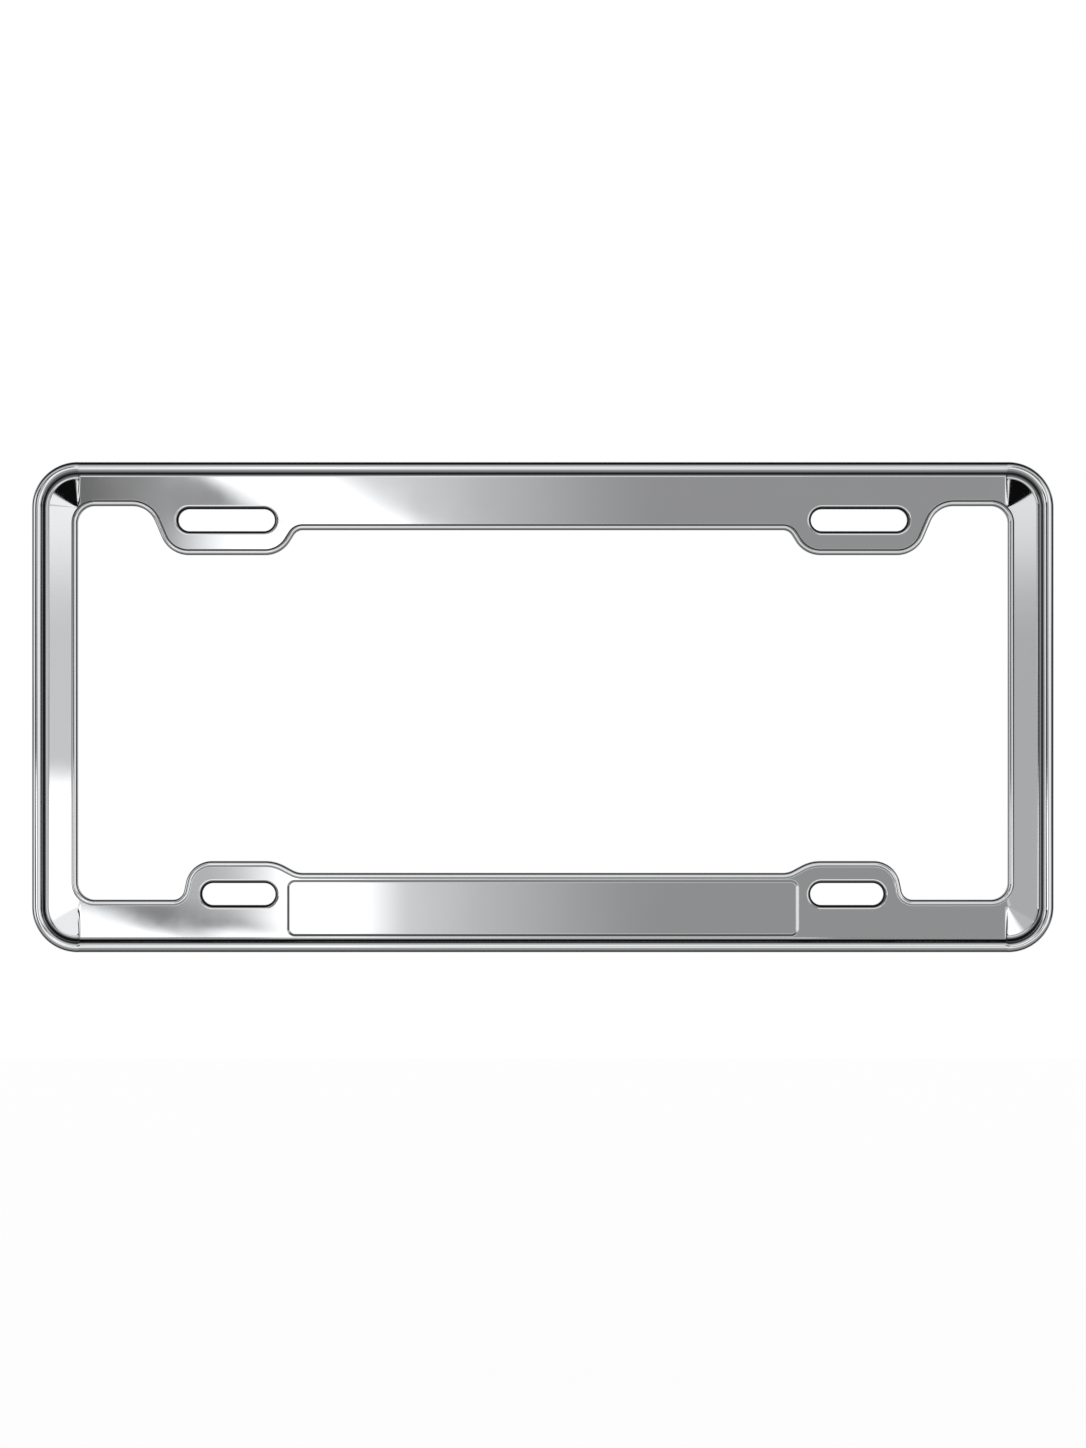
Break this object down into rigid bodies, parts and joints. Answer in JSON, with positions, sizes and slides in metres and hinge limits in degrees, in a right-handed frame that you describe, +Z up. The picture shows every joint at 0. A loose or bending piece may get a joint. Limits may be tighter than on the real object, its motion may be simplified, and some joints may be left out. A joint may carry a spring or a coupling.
{
  "type": "number plate holder",
  "caption": "Bright-plated rectangular frame that wraps a number plate, with a raised outer bead, a lipped window, slotted screw lugs and a sunk blank panel.",
  "frame": {"origin": "centre of the outline and of the depth, which is also in the middle of the window", "axes": "+X along the length, to the right seen from the front; +Y from the front to the back, towards the car; +Z up"},
  "size_m": [0.327, 0.0085, 0.157],
  "materials": {
    "chrome": "bright chromium plating on a polished zinc alloy casting"
  },
  "bodies": {
    "root": {"frame": "chrome"}
  },
  "joints": []
}
